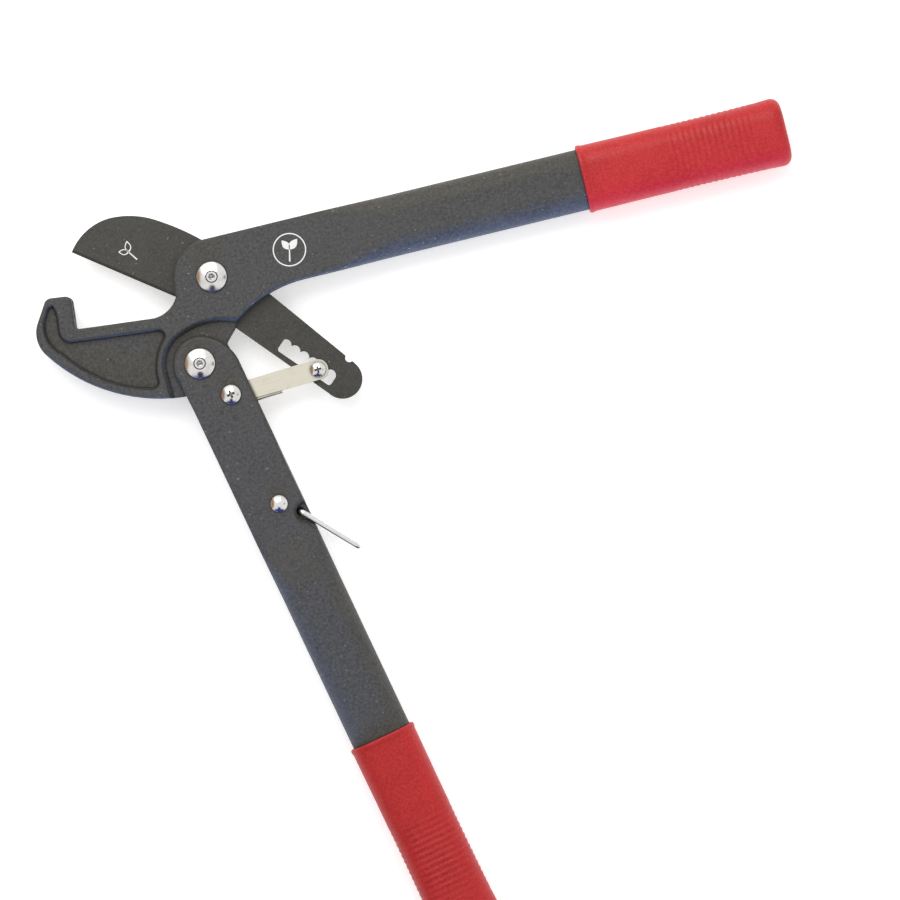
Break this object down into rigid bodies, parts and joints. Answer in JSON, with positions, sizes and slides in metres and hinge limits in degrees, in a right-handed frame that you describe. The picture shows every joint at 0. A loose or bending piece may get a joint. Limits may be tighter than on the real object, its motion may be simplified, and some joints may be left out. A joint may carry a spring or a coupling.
{
  "type": "anvil pruner",
  "caption": "Compact ratchet anvil pruner, wide open: a hooked anvil arm, a notched blade drawn by a sprung link, a forked lower arm with a wire latch, and slip-on grips.",
  "frame": {"origin": "on the blade pivot's axis, at the flat back of its post, in the plane that the tool lies on", "axes": "+X along the anvil arm to its grip, +Y to the side where the blade opens, +Z out of the front face"},
  "size_m": [0.4086, 0.4093, 0.0252],
  "materials": {
    "arm_nylon": "fine moulded texture, glass-filled nylon",
    "grip_vinyl": "satin red vinyl",
    "blade_coated": "dark non-stick coating over carbon steel",
    "bright_fastener": "bright nickel plate",
    "link_zinc": "bright zinc plate on pressed steel",
    "latch_steel": "bright drawn wire",
    "hard_steel": "ground hardened steel",
    "spring_steel": "zinc-plated spring wire",
    "washer_acetal": "natural acetal"
  },
  "bodies": {
    "anvil_arm": {"anvil_arm": "arm_nylon", "anvil_arm_grip": "grip_vinyl", "blade_pivot_bolt": "bright_fastener", "blade_pivot_post": "bright_fastener", "blade_washers": "washer_acetal"},
    "blade": {"blade": "blade_coated"},
    "lower_arm": {"lower_arm": "arm_nylon", "lower_arm_grip": "grip_vinyl", "handle_pivot_bolt": "bright_fastener", "handle_pivot_post": "bright_fastener", "handle_washers": "washer_acetal", "link_bolt": "bright_fastener", "link_nut": "bright_fastener", "spring_pin": "bright_fastener", "link_spring": "spring_steel"},
    "link": {"ratchet_link": "link_zinc", "ratchet_screw": "bright_fastener", "ratchet_nut": "bright_fastener", "ratchet_sleeve": "hard_steel"},
    "latch": {"latch_wire": "latch_steel"}
  },
  "joints": [
    {"name": "handle_pivot", "type": "hinge", "parent": "anvil_arm", "child": "lower_arm", "pos_m": [-0.0168, -0.0428, 0.0126], "axis": [0, 0, 1], "range_deg": [-5, 62]},
    {"name": "blade_pivot", "type": "hinge", "parent": "anvil_arm", "child": "blade", "pos_m": [0, 0, 0.0126], "axis": [0, 0, 1], "range_deg": [-2.6, 31.2]},
    {"name": "link_pivot", "type": "hinge", "parent": "lower_arm", "child": "link", "pos_m": [-0.0047, -0.0624, 0.0126], "axis": [0, 0, 1], "range_deg": [-43.6, 3.6], "deforming": ["link_spring"]},
    {"name": "latch_pivot", "type": "hinge", "parent": "lower_arm", "child": "latch", "pos_m": [0.0162, -0.13045, 0.0126], "axis": [0, 0, 1], "range_deg": [0, 65.5]}
  ],
  "couplings": [
    {"joint": "blade_pivot", "follows": "handle_pivot", "ratio": 0.5032},
    {"joint": "link_pivot", "follows": "handle_pivot", "ratio": -0.7022}
  ]
}
